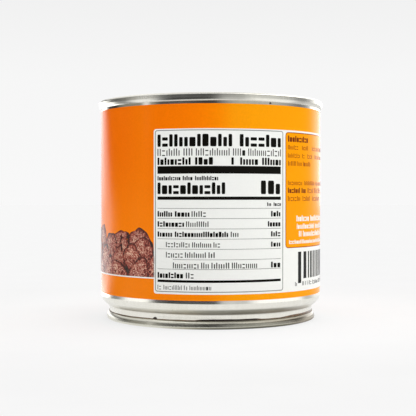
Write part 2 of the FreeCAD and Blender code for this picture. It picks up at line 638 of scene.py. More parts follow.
def ramp(tree, factor, stops):
    """A colour ramp through (place, tone) stops in rising order, where one number stands for a grey."""
    made = node(tree, "ShaderNodeValToRGB", {0: factor})
    elements = made.color_ramp.elements
    while len(elements) < len(stops):
        elements.new(0.5)
    for element, (place, tone) in zip(elements, stops):
        element.position = place
        element.color = (*(tone if isinstance(tone, tuple) else grey(tone)), 1)
    return made.outputs[0]


def mixed(tree, factor, first, second, blend="MIX"):
    """Two colours mixed by a factor."""
    first, second = ((*tone, 1) if isinstance(tone, tuple) else tone for tone in (first, second))
    inputs = {0: factor, 6: first, 7: second}
    return node(tree, "ShaderNodeMix", inputs, data_type="RGBA", blend_type=blend).outputs[2]


def tinted(tree, first, second):
    """Two colours multiplied."""
    return mixed(tree, 1.0, first, second, "MULTIPLY")


def shining(tree, kind, tone, strength):
    """An emission or a background of one tone and strength."""
    return node(tree, kind, {"Color": tone, "Strength": strength}).outputs[0]


def mixed_shaders(tree, factor, first, second):
    """Two shaders mixed by a factor."""
    return node(tree, "ShaderNodeMixShader", {0: factor, 1: first, 2: second}).outputs[0]


def degrees_ramp(tree, share, stops):
    """A ramp round the compass: stops are (degrees to the right of the front, tone)."""
    return ramp(tree, share, [((angle + 180) / 360, tone) for angle, tone in stops])


def object_place(tree):
    """Object coordinates, in metres."""
    return node(tree, "ShaderNodeTexCoord").outputs["Object"]


def kept_number(tree, key):
    """A number that the mesh keeps for each point."""
    return node(tree, "ShaderNodeAttribute", attribute_name=key).outputs["Fac"]


def parts_of(tree, place):
    """The x, y and z of a place."""
    return list(node(tree, "ShaderNodeSeparateXYZ", {0: place}).outputs)


def noise(tree, place, scale, detail=3.0, roughness=0.5, stretch=(1, 1, 1)):
    """Fractal noise, with the coordinates first stretched along each axis."""
    moved = node(tree, "ShaderNodeMapping", {"Vector": place, "Scale": stretch}).outputs[0]
    inputs = {"Vector": moved, "Scale": scale, "Detail": detail, "Roughness": roughness}
    return node(tree, "ShaderNodeTexNoise", inputs).outputs["Fac"]


def turn_share(tree, place):
    """Angle round Z as 0 to 1, with 0.5 at -Y and more towards +X."""
    x, y, _ = parts_of(tree, place)
    angle = maths(tree, "ARCTAN2", x, times(tree, y, -1.0))
    return maths(tree, "ADD", maths(tree, "DIVIDE", angle, TURN), 0.5)


def distance_from_axis(tree, place):
    """Distance of a place from the Z axis."""
    squares = [maths(tree, "POWER", part, 2.0) for part in parts_of(tree, place)[:2]]
    return maths(tree, "SQRT", maths(tree, "ADD", squares[0], squares[1]))


def grey(level):
    """A colour with three equal parts."""
    return (level, level, level)


def surface(name):
    """A new material with its node tree and a plain surface shader."""
    material = bpy.data.materials.new(name)
    material.use_nodes = True
    tree = material.node_tree
    return material, tree, tree.nodes["Principled BSDF"]


# ---- finishes ---------------------------------------------------------------------------------

PAPER_WHITE = (0.87, 0.88, 0.85)
INK_BLACK = (0.006, 0.0055, 0.004)
INK_BROWN = (0.42, 0.105, 0.006)
INK_DARK_BROWN = (0.2, 0.035, 0.006)
ORANGE_FAR = (0.89, 0.16, 0.001)
# The paler, yellower orange low on the label is painted bounce light from the table.
ORANGE_BOUNCE_LIT = (0.985, 0.235, 0.002)
ORANGE_AMBER = (0.98, 0.352, 0.002)
LINE_GREY = (0.25, 0.26, 0.24)
# The clear coat of the label's print.
GLOSS_COAT = {"IOR": 1.33, "Specular IOR Level": 0.14}
# Painted reflection and painted shade on the foot's seam, on the right of the view: tints by degrees round
# the compass, a warm brown painted reflection on the seam's crown and painted shade that dims the skirt's
# tip.
BARE_TIN = (0.9, 0.88, 0.84)
CROWN_WARM_REFLECTION = [
    (-180, BARE_TIN), (-80, (0.95, 0.94, 0.9)), (-20, (0.92, 0.92, 0.88)), (20, (0.8, 0.79, 0.74)),
    (44, (0.78, 0.76, 0.7)), (52, (0.56, 0.52, 0.46)), (68, (0.56, 0.5, 0.42)), (88, (0.5, 0.43, 0.35)),
    (104, (0.62, 0.58, 0.52)), (125, (0.85, 0.84, 0.8)), (180, BARE_TIN),
]
TIP_PAINTED_SHADE = [
    (-180, BARE_TIN), (-80, (0.95, 0.94, 0.9)), (-12, (0.92, 0.92, 0.88)), (0, (0.68, 0.67, 0.62)),
    (12, (0.42, 0.41, 0.38)), (30, (0.36, 0.34, 0.3)), (60, (0.3, 0.27, 0.23)), (104, (0.45, 0.42, 0.38)),
    (125, (0.85, 0.84, 0.8)), (180, BARE_TIN),
]
# Heights in metres between which the crown's painted reflection gives way to the tip's painted shade.
CROWN_TO_TIP_CHANGE = (0.0015, 0.0022)

# Where the foot was drawn in and is duller, by height in hundredths of a metre.
DRAWN_FOOT = [(0.44, 0), (0.5, 1), (0.68, 1), (0.78, 0)]


def tinplate(name, turning, dullness, shade, painted_tints=None, foot_dullness=0.0):
    """Bright tin over steel: rolled grain, faint dull patches, and fine rings where the end was turned.

    turning mixes from rolled grain to rings, dullness is the roughness, and shade darkens the metal as
    painted shade. The tints argument gives painted reflection and painted shade by angle, low on the foot's
    seam and at its skirt's tip. foot_dullness is the extra roughness where the foot was drawn in.
    """
    material, tree, shader = surface(name)
    place = object_place(tree)
    height = parts_of(tree, place)[2]
    patches = noise(tree, place, 60.0, 4.0, 0.6)
    grain = noise(tree, place, 900.0, 3.0, 0.6, stretch=(1, 1, 0.06))
    tone = ramp(tree, patches, [(0.3, (0.85, 0.83, 0.74)), (0.7, (0.93, 0.915, 0.85))])
    streaks = ramp(tree, grain, [(0.3, (0.74, 0.715, 0.63)), (0.7, (0.95, 0.94, 0.89))])
    metal = tinted(tree, mixed(tree, 0.2, tone, streaks), grey(shade))
    # Painted reflection on the seam's crown and painted shade on the skirt's tip, by angle round the can.
    if painted_tints:
        crown_reflection, tip_shade = (degrees_ramp(tree, turn_share(tree, place), stops) for stops in painted_tints)
        metal = tinted(tree, metal, mixed(tree, mapped(tree, height, *CROWN_TO_TIP_CHANGE), crown_reflection, tip_shade))
    rough = mapped(tree, patches, 0.3, 0.7, 0.8 * dullness, 1.3 * dullness)
    drawn = ramp(tree, times(tree, height, 100.0), DRAWN_FOOT)
    rough = maths(tree, "ADD", rough, times(tree, drawn, foot_dullness))
    rings = node(tree, "ShaderNodeCombineXYZ", {0: distance_from_axis(tree, place), 2: height}).outputs[0]
    relief = mixed(tree, turning, grain, noise(tree, rings, 2600.0, 2.0))
    bump = node(tree, "ShaderNodeBump", {"Strength": 0.05, "Distance": 0.0002, "Height": relief}).outputs[0]
    set_inputs(tree, shader, {"Base Color": metal, "Roughness": rough, "Normal": bump, "Metallic": 1.0})
    return material


def plain(name, pale, dark, roughness):
    """A dull coating that wanders between two tones."""
    material, tree, shader = surface(name)
    tone = ramp(tree, noise(tree, object_place(tree), 900.0, 3.0), [(0.35, dark), (0.65, pale)])
    set_inputs(tree, shader, {"Base Color": tone, "Roughness": roughness})
    return material


def compound():
    """Brown sealing compound, thin and translucent, and black where the line stands taller: painted shade in
    the gap.
    """
    material, tree, shader = surface("seam_compound_and_gap_shade")
    grain = noise(tree, object_place(tree), 900.0, 3.0)
    thin_tone = ramp(tree, grain, [(0.35, (0.09, 0.05, 0.025)), (0.65, (0.2, 0.12, 0.07))])
    gap_shade_tone = ramp(tree, grain, [(0.35, (0.006, 0.004, 0.003)), (0.65, (0.03, 0.014, 0.006))])
    tone = mixed(tree, kept_number(tree, "thick"), thin_tone, gap_shade_tone)
    set_inputs(tree, shader, {"Base Color": tone, "Roughness": 0.35, "Specular IOR Level": 0.25})
    return material


def printed(name, colour, roughness=0.15, mottle=0.05):
    """Ink or bare paper under a clear gloss, with a fine mottle.

    colour is one tone, or a function of (tree, place) that gives the print.
    """
    material, tree, shader = surface(name)
    place = object_place(tree)
    base = colour(tree, place) if callable(colour) else colour
    fibres = noise(tree, place, 1500.0, 3.0, 0.6)
    tone = tinted(tree, base, ramp(tree, fibres, [(0.35, 1 - mottle), (0.65, 1)]))
    sheen = mapped(tree, fibres, 0.3, 0.7, roughness - 0.03, roughness + 0.05)
    bump = node(tree, "ShaderNodeBump", {"Strength": 0.03, "Distance": 0.0001, "Height": fibres}).outputs[0]
    set_inputs(tree, shader, {"Base Color": tone, "Roughness": sheen, "Normal": bump, **GLOSS_COAT})
    return material


def orange_print_and_painted_bounce(tree, place):
    """The label's ground: deep orange that turns to warm amber towards the right, and back on the far side.

    It is paler and yellower towards the foot on the deep orange side: painted light, as if bounced up from
    the table. Stops are shares of a turn, with the front of the view at 0.5.
    """
    upper = [
        (0.0, ORANGE_FAR), (0.33, ORANGE_FAR), (0.373, (0.91, 0.17, 0.001)), (0.403, (0.93, 0.19, 0.001)),
        (0.431, (0.935, 0.184, 0.001)), (0.467, (0.965, 0.2, 0.001)), (0.485, (0.975, 0.214, 0.001)),
        (0.501, (0.98, 0.236, 0.001)), (0.514, (0.98, 0.264, 0.001)), (0.53, (0.98, 0.325, 0.002)),
        (0.56, ORANGE_AMBER), (0.79, ORANGE_AMBER), (0.9, ORANGE_FAR), (1.0, ORANGE_FAR),
    ]
    lower = [
        (0.0, ORANGE_BOUNCE_LIT), (0.45, ORANGE_BOUNCE_LIT), (0.5, (0.98, 0.265, 0.001)), (0.53, (0.985, 0.34, 0.002)),
        (0.56, ORANGE_AMBER), (0.79, ORANGE_AMBER), (0.9, ORANGE_BOUNCE_LIT), (1.0, ORANGE_BOUNCE_LIT),
    ]
    share = turn_share(tree, place)
    # Towards the foot the ground takes the paler ramp: painted bounce light from the table.
    drop = eased(tree, parts_of(tree, place)[2], 0.066, 0.02)
    return mixed(tree, drop, ramp(tree, share, upper), ramp(tree, share, lower))


PEPPER_TONES = [
    (0.16, (0.045, 0.034, 0.03)),
    (0.28, (0.12, 0.04, 0.034)),
    (0.4, (0.24, 0.058, 0.044)),
    (0.52, (0.36, 0.095, 0.07)),
    (0.63, (0.47, 0.19, 0.14)),
    (0.72, (0.62, 0.4, 0.29)),
    (0.84, (0.8, 0.62, 0.47)),
]


def pepper_print():
    """Wrinkled dried pepper skin: thin pale folds stretched along each pepper over a red-brown ground, with
    dark hollows between them and a dark edge."""
    material, tree, shader = surface("pepper_print")
    keys = ("along", "across", "number", "rim", "light")
    along, across, number, rim, light = (kept_number(tree, key) for key in keys)
    place = node(tree, "ShaderNodeCombineXYZ", {0: along, 1: across, 2: times(tree, number, 7.3)}).outputs[0]
    warp = node(tree, "ShaderNodeTexNoise", {"Vector": place, "Scale": 0.5, "Detail": 2.0}).outputs["Color"]
    push = node(tree, "ShaderNodeVectorMath", {0: warp, 1: (2.4, 2.4, 0.0)}, operation="MULTIPLY").outputs[0]
    warped = node(tree, "ShaderNodeVectorMath", {0: place, 1: push}, operation="ADD").outputs[0]
    folds = noise(tree, warped, 1.0, 2.0, 0.5, stretch=(0.75, 1.1, 1.0))
    swing = maths(tree, "ABSOLUTE", times(tree, maths(tree, "SUBTRACT", folds, 0.5), 8.0))
    ridge = maths(tree, "SUBTRACT", 1.0, swing, clamp=True)
    fine = noise(tree, warped, 2.0, 3.0, 0.62)
    level = maths(tree, "ADD", times(tree, ridge, 0.4), times(tree, fine, 0.9))
    level = maths(tree, "ADD", level, maths(tree, "SUBTRACT", times(tree, light, 0.24), 0.23))
    level = times(tree, level, eased(tree, rim, 0.0, 0.17, 0.4, 1.0))
    tone = node(tree, "ShaderNodeTexNoise", {"Vector": place, "Scale": 0.12, "Detail": 1.0}).outputs["Fac"]
    varied = mixed(tree, tone, (0.78, 0.74, 0.78), (1.2, 1.1, 1.04))
    skin = tinted(tree, ramp(tree, level, PEPPER_TONES), varied)
    set_inputs(tree, shader, {"Base Color": skin, "Roughness": 0.2, **GLOSS_COAT})
    return material


# ---- metal pieces ------------------------------------------------------------------------------


def make_tin():
    """The body shell and the two ends with their seams."""
    body_tin = tinplate("rolled_tinplate", 0.2, 0.14, 1.0, foot_dullness=0.16)
    # The lid and the foot are darker than the body by painted shade: 0.86 and 0.8 against 1.0.
    lid_tin = tinplate("turned_tinplate", 0.7, 0.24, 0.86)
    # The foot's seam carries a painted warm reflection on its crown and painted shade on its skirt's tip.
    foot_tin = tinplate("painted_reflection_tinplate", 0.7, 0.2, 0.8, (CROWN_WARM_REFLECTION, TIP_PAINTED_SHADE))
    body = piece("tin_body", *turned(body_outline()), body_tin, "tinplate_body")
    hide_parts("can_body")
    outline = end_outline(body_radius, top_seam_proud, top_seam_height, top_seam_lean)
    waver = seam_unevenness(body_radius + top_seam_proud, top_seam_height, 1, 0.6)
    lid = piece("lid", *turned(outline + np.array([0, can_height]), waver), lid_tin, "tinplate_ends")
    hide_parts("top_end")
    outline = end_outline(base_neck_radius, base_seam_proud, base_seam_height, base_seam_lean)
    upside_down = (outline * np.array([1, -1]))[::-1]
    waver = seam_unevenness(base_neck_radius + base_seam_proud, base_seam_height, -1, 2.1)
    base = piece("foot_end", *turned(upside_down, waver), foot_tin, "tinplate_ends")
    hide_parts("base_end")


def make_traces():
    """Brown sealing compound in the corner above the foot's seam, black at the front as painted shade in the
    gap and higher on the right as a painted warm reflection, and two dark flecks of old glue.
    """
    corner = base_seam_height
    inner = base_neck_radius - 0.02
    angle = np.roll(np.linspace(-TURN / 2, TURN / 2, turn_steps, endpoint=False), turn_steps // 2)
    # Painted shade: the line stands taller and black at the front. Painted warm reflection: it rises on the
    # right.
    thick = soft_window(angle, GAP_SHADE_FROM, GAP_SHADE_TO, 0.08)
    warm_reflection = soft_window(angle, WARM_REFLECTION_FROM, WARM_REFLECTION_TO, 0.25)
    wave = 0.5 + 0.3 * np.sin(17 * angle) + 0.2 * np.sin(41 * angle + 1)
    height = compound_height * (0.8 + 0.4 * wave) + gap_shade_bulge * thick + warm_reflection_height * warm_reflection
    # The line's section: how far each point stands out of the corner, its share of the height, and its sink.
    section = [(0.0, 1.0, 0.0), (0.14, 0.7, 0.0), (0.3, 0.15, 0.0), (0.3, 0.0, 0.05), (0.0, 0.0, 0.05)]
    z = np.stack([corner + share * height - sink for _, share, sink in section])
    line = ring([inner + reach for reach, _, _ in section], z)
    kept = {"thick": np.tile(thick, len(section))}
    piece("compound_and_gap_shade_line", *line, compound(), "tinplate_body", kept)
    dark = plain("dark_fleck", (0.02, 0.014, 0.01), (0.05, 0.03, 0.02), 0.5)
    piece("dark_flecks", *joined([fleck(*sizes) for sizes in FLECKS]), dark, "tinplate_body")


# ---- label ---------------------------------------------------------------------------------------


def on_paper(name, mesh, material, values=None):
    """A piece of the label, from its (points, faces)."""
    return piece(name, *mesh, material, "label_paper", values)


def make_label_sheet():
    """The paper, once round the wall and on under its own outer end."""
    s = np.linspace(lap_edge - label_round - lap_width, lap_edge, int(label_round / 0.7))
    rows = 24
    points = sheet_points(s, label_bottom + 0 * s, label_top + 0 * s, rows, 0.0, -label_sheet)
    orange = printed("orange_print_and_painted_bounce", orange_print_and_painted_bounce)
    sheet = on_paper("paper_label", (points, sheet_faces(len(s), rows)), orange)
    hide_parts("label")


def make_panels():
    """The white ground with the facts panel's border, and the amber list panel with its outline."""
    white = printed("white_paper", PAPER_WHITE, mottle=0.02)
    on_paper("white_ground", rounded_patch(*WHITE_GROUND, ground_lift, 12), white)
    border = border_line(*FACTS_BORDER, border_width, panel_lift)
    on_paper("facts_border", border, printed("grey_ink", LINE_GREY))
    amber = printed("amber_print", orange_print_and_painted_bounce)
    on_paper("list_ground", rounded_patch(*LIST_PANEL, panel_lift, 8), amber)
    outline = border_line(*LIST_PANEL, list_outline, outline_lift)
    on_paper("list_outline", outline, printed("brown_ink", INK_BROWN))


def make_facts():
    """The facts panel: rows of marks, thick and thin bars and hairlines."""
    rng = np.random.default_rng(12)
    left, right = text_left, text_right
    indent, deep_indent = -15.7, -13.1
    bold = [
        words(rng, 62.85, 67.1, [(left, 7.4), (10.05, right)], 0.28),
        words(rng, 56.6, 59.15, [(left, -6.8), (-5.3, 0.8), (6.8, 8.3), (10.2, 16.7), (18.3, right)], 0.26),
        words(rng, 51.3, 52.8, [(left, -10.4), (-9.6, -6.2), (-5.3, 2.6)], 0.26),
        words(rng, 46.6, 50.6, [(left, 5.0)], 0.29),
        # Three plain bars where the panel has its largest number.
        np.array([[18.85, 48.95, 2.0, 4.7], [21.9, 48.95, 2.5, 4.7], [24.8, 48.4, 1.9, 3.6]]),
        words(rng, 42.5, 43.75, [(20.3, 21.9), (23.0, right)], 0.24),
    ]
    # Each row: its foot and top, its bold words, its light words, and where the amount at its right starts.
    rows = [
        (38.85, 40.8, [(left, -13.4), (-12.4, -7.2)], [(-6.5, -1.6)], 21.9),
        (35.4, 37.3, [(left, -9.1)], [(-8.4, -0.7)], 20.6),
        (31.95, 33.8, [(left, -13.4), (-12.4, 6.0)], [(6.9, 9.6)], 21.9),
        (28.4, 30.2, [], [(indent, -7.2), (-6.3, 0.2), (1.0, 3.2)], 21.9),
        (24.85, 26.8, [], [(indent, -9.6), (-8.8, -1.6), (-0.7, 1.4)], None),
        (21.2, 23.25, [], [(deep_indent, -4.1), (-3.2, -0.6), (0.3, 6.4), (7.3, 16.4)], 21.9),
        (17.8, 19.8, [(left, -9.5)], [(-8.5, -5.8)], None),
    ]
    heading = [(left, -10.7), (-9.3, -6.2), (-5.0, 6.5), (7.7, 12.0), (13.1, right)]
    light = [words(rng, 59.7, 62.2, heading, 0.13)]
    for low, high, heavy, thin, amount in rows:
        if heavy:
            bold.append(words(rng, low, high, heavy, 0.29))
        if amount:
            bold.append(words(rng, low, high, [(amount, right - 0.2)], 0.28))
        if thin:
            light.append(words(rng, low, high, thin, 0.17))
    light.append(words(rng, 13.8, 15.4, [(left, -17.6), (-16.6, -10.0), (-9.2, -8.0), (-7.2, 0.2)], 0.13))
    black = printed("black_ink", INK_BLACK)
    on_paper("facts_bold_marks", marks(np.concatenate(bold), ink_lift), black)
    thin_black = printed("thin_black_ink", (0.02, 0.02, 0.017))
    on_paper("facts_light_marks", marks(np.concatenate(light), ink_lift), thin_black)
    across = spread(left, right, 0.1)
    bars = [wrapped_patch(across, low, high, ink_lift) for low, high in FACTS_BARS]
    on_paper("facts_bars", joined(bars), black)
    hairlines = [(left, 41.73), (left, 38.26), (left, 34.72), (left, 31.25), (left, 27.78)]
    hairlines += [(deep_indent, 24.2), (left, 20.9)]
    half = hairline_width / 2
    lines = [wrapped_patch(spread(a, right, 0.1), z - half, z + half, hairline_lift) for a, z in hairlines]
    on_paper("facts_hairlines", joined(lines), printed("hairline_ink", (0.12, 0.12, 0.115)))


def make_list():
    """The list panel: brown rows, and white rows at its foot."""
    rng = np.random.default_rng(21)
    start, far = 29.5, 65.0
    # Each row: its foot and top, its words, its stroke's share of the height, and whether it is bold.
    rows = [
        (65.0, 67.15, [(start, 41.5)], 0.3, True),
        (62.3, 63.9, [(start, 35.0), (37.4, 41.5), (44.9, 52.6), (53.8, far)], 0.17, False),
        (59.4, 61.0, [(start, 36.0), (37.4, 39.0), (41.0, 45.0), (47.6, 54.0), (55.0, far)], 0.17, False),
        (56.6, 58.3, [(start, 33.8), (34.6, 37.1), (38.0, 43.4)], 0.17, False),
        (49.8, 51.4, [(start, 37.4), (39.0, 47.5), (48.6, 58.0), (59.0, 63.5)], 0.18, False),
        (47.0, 48.9, [(start, 36.0), (37.1, 39.8)], 0.27, True),
        (47.0, 48.9, [(41.3, 46.0), (47.0, 57.0)], 0.17, False),
        (44.2, 46.0, [(start, 36.2), (37.8, 42.9), (45.2, 55.8)], 0.17, False),
    ]
    white_rows = [
        (37.0, 39.1, [(34.0, 42.3), (43.5, 58.5)], 0.3),
        (34.3, 36.2, [(34.2, 47.0), (48.2, 60.0)], 0.22),
        (31.6, 33.6, [(35.4, 37.0), (38.0, 57.0)], 0.24),
        (29.1, 30.5, [(30.1, 36.7), (37.1, 60.0)], 0.26),
    ]
    bold = [words(rng, *row[:4]) for row in rows if row[4]]
    light = [words(rng, *row[:4]) for row in rows if not row[4]]
    white = [words(rng, *row) for row in white_rows]
    dark_brown = printed("dark_brown_ink", INK_DARK_BROWN)
    red_brown = printed("red_brown_ink", (0.33, 0.07, 0.006))
    white_ink = printed("white_ink", (0.9, 0.89, 0.83))
    on_paper("list_bold_marks", marks(np.concatenate(bold), list_ink_lift), dark_brown)
    on_paper("list_marks", marks(np.concatenate(light), list_ink_lift), red_brown)
    on_paper("list_white_marks", marks(np.concatenate(white), list_ink_lift), white_ink)


def make_bar_code():
    """Upright bars of uneven width with plain marks under them; they spell nothing."""
    rng = np.random.default_rng(33)
    narrow, foot, long_foot, top = 0.33, 16.6, 15.06, 26.2
    bars = [(35.0, 36.9, long_foot), (38.4, 40.4, foot), (41.6, 42.5, foot)]
    s, far = 43.3, 60.0
    while s < far:
        width = rng.choice([narrow, 2 * narrow, 1.0])
        bars.append((s, s + width, foot))
        s += width + rng.choice([narrow, 2 * narrow])
    bars.append((s, s + 0.5, long_foot))
    parts = [wrapped_patch(np.linspace(a, b, 3), low, top, ink_lift) for a, b, low in bars]
    ink = printed("bar_ink", (0.03, 0.03, 0.03))
    on_paper("code_bars", joined(parts), ink)
    spans = [(33.3, 34.3), (37.7, 38.7), (39.3, 40.1), (40.7, 41.4), (42.3, 44.4)]
    spans += [(45.5, 52.0), (53.0, far)]
    on_paper("code_marks", marks(words(rng, 14.1, 15.6, spans, 0.16), ink_lift), ink)


def oval(centre, half, lift, rows=14):
    """An ellipse on the label, (s / a)^2 + (z / b)^2 = 1, in cosine steps from end to end."""
    t = np.linspace(0.02, TURN / 2 - 0.02, 72)
    s = centre[0] - half[0] * np.cos(t)
    rise = half[1] * np.sin(t)
    return wrapped_patch(s, centre[1] - rise, centre[1] + rise, lift, rows)


def make_front():
    """The hidden front: a blank cream oval with a brown rim, a plain red band and two rows of dots."""
    s, z = front_middle
    half = front_band_half
    cream = printed("cream_print", (0.86, 0.72, 0.47))
    on_paper("front_oval", oval(front_middle, front_half, ground_lift), cream)
    unit = circle(np.linspace(0, TURN, 160, endpoint=False))
    inside = front_middle + unit * (front_half - front_rim)
    rim = closed_band(front_middle + unit * front_half, inside, ink_lift)
    on_paper("front_rim", rim, printed("front_brown_ink", INK_BROWN))
    band = (s - half, s + half, z + front_band_low, z + front_band_high, front_band_rounding)
    red = printed("front_red_ink", (0.5, 0.03, 0.012))
    on_paper("front_band", rounded_patch(*band, ink_lift, 4), red)
    dots = [[s + dot_pitch * i, z + rise, dot_width, dot_width] for rise in dot_rows for i in range(-3, 4)]
    dot_ink = printed("front_dot_ink", INK_DARK_BROWN)
    on_paper("front_dots", marks(dots, ink_lift, squareness=2.0), dot_ink)


# ---- the heap of peppers printed on the label ---------------------------------------------------

# Rows from the back to the front: height and its scatter, pitch, half length, half width, tilt and lift.
PEPPER_ROWS = [
    (28.8, 1.6, 11.0, 6.4, 4.3, 1.2, 0.035),
    (25.6, 1.4, 9.6, 5.4, 4.1, 1.4, 0.055),
    (22.2, 1.4, 9.2, 6.0, 4.2, 1.3, 0.078),
    (18.9, 1.0, 9.2, 6.2, 4.0, 1.1, 0.1),
]
pepper_grid_rows = 10
pepper_depth = 0.008


def pepper_edge(middle, half_length, half_width, taper, tilt, rng):
    """The outline x = a cos t, y = b sin t (1 - k cos t), with ripples, turned by the tilt."""
    t = np.linspace(0, TURN, 200, endpoint=False)
    ripple = 0.06 * np.sin(3 * t + rng.uniform(0, TURN)) + 0.045 * np.sin(5 * t + rng.uniform(0, TURN))
    ripple += 0.03 * np.sin(9 * t + rng.uniform(0, TURN))
    x = half_length * np.cos(t) * (1 + ripple)
    y = half_width * np.sin(t) * (1 - taper * np.cos(t)) * (1 + ripple)
    s = middle[0] + x * math.cos(tilt) - y * math.sin(tilt)
    z = middle[1] + x * math.sin(tilt) + y * math.cos(tilt)
    return s, z


def pepper_patch(middle, half_length, half_width, tilt, number, lift, rng, left, right):
    """One flat pepper: an oval that narrows to its tip, cut at the heap's foot and at its two ends.

    Columns run between the lower and the upper side of its edge, and each point keeps its place along and
    across the pepper.
    """
    taper = rng.uniform(0.1, 0.4)
    edge_s, edge_z = pepper_edge(middle, half_length, half_width, taper, tilt, rng)
    first, last = edge_s.argmin(), edge_s.argmax()
    order = np.roll(np.arange(len(edge_s)), -first)
    split = (last - first) % len(edge_s)
    lower, upper = order[: split + 1], np.append(order[split:], first)[::-1]
    if edge_z[lower].mean() > edge_z[upper].mean():
        lower, upper = upper, lower
    turn = np.linspace(0, TURN / 2, 24)
    s = (edge_s.min() + edge_s.max()) / 2 - (edge_s.max() - edge_s.min()) / 2 * 0.995 * np.cos(turn)
    low = np.interp(s, np.maximum.accumulate(edge_s[lower]), edge_z[lower])
    high = np.interp(s, np.maximum.accumulate(edge_s[upper]), edge_z[upper])
    keep = (high > heap_low + 0.3) & (s > left) & (s < right)
    if keep.sum() < 4:
        return None
    s, low, high = s[keep], np.maximum(low[keep], heap_low), high[keep]
    high = np.maximum(high, low + 0.05)
    points = sheet_points(s, low, high, pepper_grid_rows, lift, lift - pepper_depth)
    share = np.linspace(0, 1, pepper_grid_rows)
    ds = np.repeat(s, pepper_grid_rows) - middle[0]
    dz = (low[:, None] + (high - low)[:, None] * share).ravel() - middle[1]
    along = ds * math.cos(tilt) + dz * math.sin(tilt)
    across = -ds * math.sin(tilt) + dz * math.cos(tilt)
    width_there = half_width * (1 - taper * np.clip(along / half_length, -1, 1))
    rim = np.clip(1 - np.hypot(along / half_length, across / width_there), 0, 1)
    light = np.clip(0.5 + 0.5 * (dz * 0.8 - ds * 0.45) / half_width, 0, 1) * np.clip(rim * 2, 0, 1)
    kept = {"along": along, "across": across, "number": 0 * along + number, "rim": rim, "light": light}
    faces = sheet_faces(len(s), pepper_grid_rows)
    return points, faces, {key: np.tile(numbers, 2) for key, numbers in kept.items()}


def pepper_patches(rng, left, right):
    """Every pepper of the heap, row by row, each tilted the other way from the one before it."""
    patches = []
    for height, scatter, pitch, length, width, swing, lift in PEPPER_ROWS:
        s = left + rng.uniform(0, pitch)
        side = 1
        while s < right + 3:
            side = -side
            middle = (s, height + rng.uniform(-scatter, scatter))
            tilt = side * rng.uniform(0.15, 1) * swing * 1.4 + rng.uniform(-0.2, 0.2)
            half = (length * rng.uniform(0.85, 1.15), width * rng.uniform(0.75, 1.15))
            made = pepper_patch(middle, *half, tilt, len(patches), lift + 0.006 * side, rng, left, right)
            if made:
                patches.append(made)
            s += pitch * rng.uniform(0.8, 1.2)
    return patches


def shadow_tone(tree, place):
    """The dark, mottled hollows between the peppers."""
    mottle = noise(tree, place, 700.0, 3.0)
    return ramp(tree, mottle, [(0.3, (0.035, 0.03, 0.026)), (0.7, (0.11, 0.07, 0.06))])


def make_heap():
    """A heap of dried peppers in rows over a dark ground, with a white line under it."""
    rng = np.random.default_rng(7)
    left, right = lap_edge - label_round + 0.5, WHITE_GROUND[0] + 0.25
    s = spread(left, right, 0.1, 0.6)
    bumps = 26.5 + 1.3 * np.sin(0.83 * s) + 0.9 * np.sin(1.71 * s + 1) + 0.5 * np.sin(3.1 * s)
    ground = wrapped_patch(s, heap_low, bumps, ground_lift, 3)
    on_paper("pepper_shadows", ground, printed("shadow_print", shadow_tone))
    patches = pepper_patches(rng, left, right)
    kept = {key: np.concatenate([patch[2][key] for patch in patches]) for key in patches[0][2]}
    on_paper("pepper_picture", joined(patches), pepper_print(), kept)
    line = wrapped_patch(spread(left, right, 0.1), line_low, line_high, picture_line_lift, 2, 0.14)
    on_paper("picture_line", line, printed("white_line_ink", PAPER_WHITE))


# ---- floor, light and camera ----------------------------------------------------------------------

# The room's tones by degrees round the compass, to the right of the front. SKYLINE is the lowest band and
# RISING the next, then come the lamps at the sides and the ceiling. ZENITH is what metal mirrors straight
# above it.
LIGHT_SCALE = 2.0
SKYLINE = [
    (-180, 0.5), (-155, 0.75), (-143, 1.2), (-137, 1.1), (-129, 1.15),
    (-122, 0.45), (-117, 0.03), (-99, 0.015), (-88, (0.13, 0.125, 0.105)),
    (-60, (0.13, 0.125, 0.105)), (-52, 0.025), (5, 0.025), (14, 0.14),
    (28, (0.24, 0.245, 0.23)), (70, (0.24, 0.245, 0.23)), (90, 0.16), (104, 0.1), (116, 0.15),
    (123, 0.35), (130, 0.8), (138, 1.15), (160, 1.15), (180, 0.7),
]
RISING = [
    (-180, 0.6), (-137, 0.6), (-121, 0.12), (-108, 0.15), (-70, 0.24),
    (-30, 0.3), (-18, 0.2), (-8, 0.025), (46, 0.025), (54, 0.2), (62, 0.24),
    (74, (0.15, 0.12, 0.08)), (94, (0.15, 0.12, 0.08)), (104, 0.07), (118, 0.15),
    (138, 1.0), (160, 1.0), (180, 0.7),
]
SIDE_LAMPS = [
    (-180, 0.6), (-100, 0.45), (-50, 0.5), (-36, 0.2), (20, 0.26),
    (42, 1.0), (110, 1.1), (160, 0.7), (180, 0.6),
]
CEILING = [
    (-180, 0.7), (-90, 0.66), (-30, 0.9), (20, 1.1), (80, 1.08), (180, 0.7),
]
ZENITH = 0.42
STRIP_LAMP = [(-74, 0), (-71, 1), (-66, 1), (-63, 0)]
STRIP_LAMP_TONE = 0.48
# How high each band starts and is full, as the sine of its height over the horizon.
STRIP_RISE, RISING_RISE, LAMPS_RISE, CEILING_RISE = (0.035, 0.06), (0.14, 0.18), (0.28, 0.4), (0.62, 0.75)
ZENITH_RISE = (0.78, 0.86)
# The backdrop that the camera sees, by the same measure plus 0.3.
BACKDROP = [(0.3, 0.94), (0.42, 0.925), (0.5, 0.88)]

